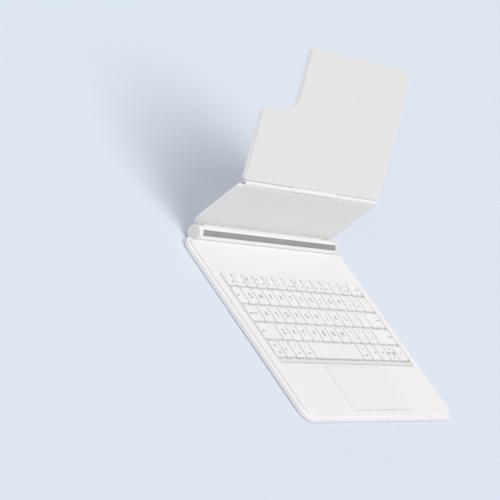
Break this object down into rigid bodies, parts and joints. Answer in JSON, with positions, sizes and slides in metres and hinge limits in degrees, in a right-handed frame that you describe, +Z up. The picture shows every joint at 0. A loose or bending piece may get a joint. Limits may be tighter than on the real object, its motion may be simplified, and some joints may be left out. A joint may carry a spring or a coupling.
{
  "type": "tablet keyboard case",
  "caption": "Keyboard case with a floating stand: a flat base with keys and a trackpad, and a two-panel stand on a hinge barrel that holds a tablet above the keys.",
  "frame": {"origin": "middle of the tray's underside", "axes": "+X to the user's right, +Y to the back, +Z up from the table"},
  "size_m": [0.26, 0.2594, 0.1646],
  "materials": {
    "moulded_white": "matte",
    "soft_touch_white": "soft-touch polyurethane",
    "lining": "microfibre",
    "key_white": "satin",
    "key_bed": "matte",
    "trackpad_white": "satin coated",
    "hinge_grey": "dark grey",
    "spring_steel": "plain",
    "magnet": "nickel plated",
    "circuit_board": "solder mask",
    "cell_foil": "pouch foil",
    "membrane": "polyester film",
    "socket_black": "black",
    "lamp_lens": "clear lens"
  },
  "bodies": {
    "base": {"base_tray": "moulded_white", "base_under_skin": "soft_touch_white", "deck_cover": "soft_touch_white", "key_plate": "key_bed", "membrane_sheet": "membrane", "main_board": "circuit_board", "usb_c_socket": "socket_black", "status_light": "lamp_lens", "battery_cell_left": "cell_foil", "battery_cell_right": "cell_foil", "keyboard_flex": "membrane", "trackpad_flex": "membrane", "trackpad_bracket": "spring_steel", "click_switch": "circuit_board", "closing_magnets": "magnet", "hinge_core": "hinge_grey", "hinge_end_cap_left": "moulded_white", "hinge_end_cap_right": "moulded_white"},
    "trackpad": {"trackpad_surface": "trackpad_white", "trackpad_board": "circuit_board"},
    "stand_lower": {"hinge_sleeve": "moulded_white", "friction_clips": "spring_steel", "lower_panel_frame": "moulded_white", "lower_outer_skin": "soft_touch_white", "lower_inner_skin": "lining", "fold_lower_leaf": "moulded_white", "fold_pin": "spring_steel"},
    "stand_upper": {"upper_panel_frame": "moulded_white", "upper_outer_skin": "soft_touch_white", "upper_inner_skin": "lining", "tablet_magnets": "magnet", "fold_upper_leaf": "moulded_white"},
    "key_backspace": {"key_backspace": "key_white"},
    "key_tab": {"key_tab": "key_white"},
    "key_caps": {"key_caps": "key_white"},
    "key_return": {"key_return": "key_white"},
    "key_shift_left": {"key_shift_left": "key_white"},
    "key_shift_right": {"key_shift_right": "key_white"},
    "key_modifier_1": {"key_modifier_1": "key_white"},
    "key_modifier_2": {"key_modifier_2": "key_white"},
    "key_modifier_3": {"key_modifier_3": "key_white"},
    "key_modifier_4": {"key_modifier_4": "key_white"},
    "key_space": {"key_space": "key_white"},
    "key_modifier_5": {"key_modifier_5": "key_white"},
    "key_modifier_6": {"key_modifier_6": "key_white"},
    "key_arrow_left": {"key_arrow_left": "key_white"},
    "key_arrow_up": {"key_arrow_up": "key_white"},
    "key_arrow_down": {"key_arrow_down": "key_white"},
    "key_arrow_right": {"key_arrow_right": "key_white"},
    "number_row_keys": {"number_row_keys": "key_white"},
    "top_row_keys": {"top_row_keys": "key_white"},
    "home_row_keys": {"home_row_keys": "key_white"},
    "bottom_row_keys": {"bottom_row_keys": "key_white"}
  },
  "joints": [
    {"name": "base_hinge", "type": "hinge", "parent": "base", "child": "stand_lower", "pos_m": [0, 0.0945, 0.0082], "axis": [-1, 0, 0], "range_deg": [-84, 30]},
    {"name": "fold_hinge", "type": "hinge", "parent": "stand_lower", "child": "stand_upper", "pos_m": [0, 0.09699, 0.06678], "axis": [-1, 0, 0], "range_deg": [-41, 20]},
    {"name": "trackpad_dip", "type": "hinge", "parent": "base", "child": "trackpad", "pos_m": [0, -0.0405, 0.00505], "axis": [1, 0, 0], "range_deg": [0, 0.6], "stiffness_Nm_per_rad": 3, "springref_deg": -1.15},
    {"name": "key_backspace", "type": "slide", "parent": "base", "child": "key_backspace", "axis": [0, 0, -1], "range_m": [0, 0.0008], "stiffness_N_per_m": 300, "springref_m": -0.0008},
    {"name": "key_tab", "type": "slide", "parent": "base", "child": "key_tab", "axis": [0, 0, -1], "range_m": [0, 0.0008], "stiffness_N_per_m": 300, "springref_m": -0.0008},
    {"name": "key_caps", "type": "slide", "parent": "base", "child": "key_caps", "axis": [0, 0, -1], "range_m": [0, 0.0008], "stiffness_N_per_m": 300, "springref_m": -0.0008},
    {"name": "key_return", "type": "slide", "parent": "base", "child": "key_return", "axis": [0, 0, -1], "range_m": [0, 0.0008], "stiffness_N_per_m": 300, "springref_m": -0.0008},
    {"name": "key_shift_left", "type": "slide", "parent": "base", "child": "key_shift_left", "axis": [0, 0, -1], "range_m": [0, 0.0008], "stiffness_N_per_m": 300, "springref_m": -0.0008},
    {"name": "key_shift_right", "type": "slide", "parent": "base", "child": "key_shift_right", "axis": [0, 0, -1], "range_m": [0, 0.0008], "stiffness_N_per_m": 300, "springref_m": -0.0008},
    {"name": "key_modifier_1", "type": "slide", "parent": "base", "child": "key_modifier_1", "axis": [0, 0, -1], "range_m": [0, 0.0008], "stiffness_N_per_m": 300, "springref_m": -0.0008},
    {"name": "key_modifier_2", "type": "slide", "parent": "base", "child": "key_modifier_2", "axis": [0, 0, -1], "range_m": [0, 0.0008], "stiffness_N_per_m": 300, "springref_m": -0.0008},
    {"name": "key_modifier_3", "type": "slide", "parent": "base", "child": "key_modifier_3", "axis": [0, 0, -1], "range_m": [0, 0.0008], "stiffness_N_per_m": 300, "springref_m": -0.0008},
    {"name": "key_modifier_4", "type": "slide", "parent": "base", "child": "key_modifier_4", "axis": [0, 0, -1], "range_m": [0, 0.0008], "stiffness_N_per_m": 300, "springref_m": -0.0008},
    {"name": "key_space", "type": "slide", "parent": "base", "child": "key_space", "axis": [0, 0, -1], "range_m": [0, 0.0008], "stiffness_N_per_m": 300, "springref_m": -0.0008},
    {"name": "key_modifier_5", "type": "slide", "parent": "base", "child": "key_modifier_5", "axis": [0, 0, -1], "range_m": [0, 0.0008], "stiffness_N_per_m": 300, "springref_m": -0.0008},
    {"name": "key_modifier_6", "type": "slide", "parent": "base", "child": "key_modifier_6", "axis": [0, 0, -1], "range_m": [0, 0.0008], "stiffness_N_per_m": 300, "springref_m": -0.0008},
    {"name": "key_arrow_left", "type": "slide", "parent": "base", "child": "key_arrow_left", "axis": [0, 0, -1], "range_m": [0, 0.0008], "stiffness_N_per_m": 300, "springref_m": -0.0008},
    {"name": "key_arrow_up", "type": "slide", "parent": "base", "child": "key_arrow_up", "axis": [0, 0, -1], "range_m": [0, 0.0008], "stiffness_N_per_m": 300, "springref_m": -0.0008},
    {"name": "key_arrow_down", "type": "slide", "parent": "base", "child": "key_arrow_down", "axis": [0, 0, -1], "range_m": [0, 0.0008], "stiffness_N_per_m": 300, "springref_m": -0.0008},
    {"name": "key_arrow_right", "type": "slide", "parent": "base", "child": "key_arrow_right", "axis": [0, 0, -1], "range_m": [0, 0.0008], "stiffness_N_per_m": 300, "springref_m": -0.0008},
    {"name": "keys_number_row_keys", "type": "slide", "parent": "base", "child": "number_row_keys", "axis": [0, 0, -1], "range_m": [0, 0.0008], "stiffness_N_per_m": 3000, "springref_m": -0.0008},
    {"name": "keys_top_row_keys", "type": "slide", "parent": "base", "child": "top_row_keys", "axis": [0, 0, -1], "range_m": [0, 0.0008], "stiffness_N_per_m": 3000, "springref_m": -0.0008},
    {"name": "keys_home_row_keys", "type": "slide", "parent": "base", "child": "home_row_keys", "axis": [0, 0, -1], "range_m": [0, 0.0008], "stiffness_N_per_m": 3000, "springref_m": -0.0008},
    {"name": "keys_bottom_row_keys", "type": "slide", "parent": "base", "child": "bottom_row_keys", "axis": [0, 0, -1], "range_m": [0, 0.0008], "stiffness_N_per_m": 3000, "springref_m": -0.0008}
  ]
}
